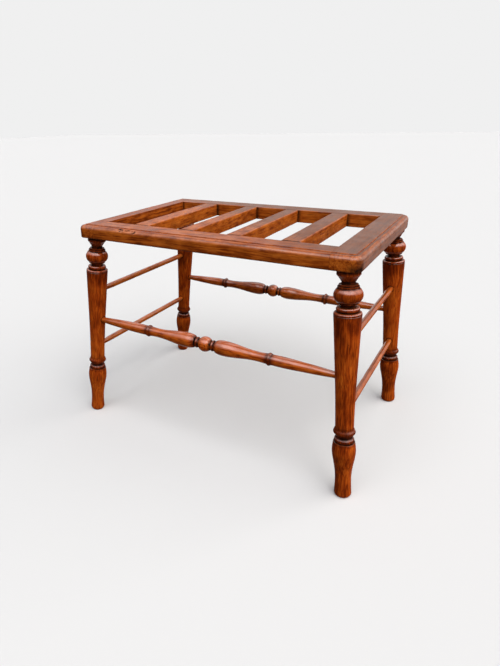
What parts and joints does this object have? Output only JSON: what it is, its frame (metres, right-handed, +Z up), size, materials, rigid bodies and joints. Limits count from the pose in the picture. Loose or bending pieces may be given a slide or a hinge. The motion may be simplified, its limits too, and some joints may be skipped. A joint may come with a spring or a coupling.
{
  "type": "luggage rack",
  "caption": "Low wooden luggage rack: a slatted, moulded frame on turned, splayed legs tied by turned stretchers and plain dowels.",
  "frame": {"origin": "on the floor, under the middle of the rack", "axes": "+X along the length to the right, -Y towards the front, +Z up"},
  "size_m": [0.6604, 0.4412, 0.4725],
  "materials": {
    "frame_wood": "old polished hardwood, red-brown, worn and dusty on top",
    "slat_wood": "old polished hardwood, orange-brown sides, dulled top",
    "turned_wood": "turned and shellac-polished hardwood with dark grime in the grooves",
    "dowel_wood": "turned and shellac-polished hardwood"
  },
  "bodies": {
    "root": {"end_rail_left": "frame_wood", "end_rail_right": "frame_wood", "front_rail": "frame_wood", "back_rail": "frame_wood", "slat_1": "slat_wood", "slat_2": "slat_wood", "slat_3": "slat_wood", "slat_4": "slat_wood", "leg_front_left": "turned_wood", "leg_front_right": "turned_wood", "leg_back_left": "turned_wood", "leg_back_right": "turned_wood", "front_stretcher": "turned_wood", "back_stretcher": "turned_wood", "side_dowel_left_upper": "dowel_wood", "side_dowel_left_lower": "dowel_wood", "side_dowel_right_upper": "dowel_wood", "side_dowel_right_lower": "dowel_wood"}
  },
  "joints": []
}
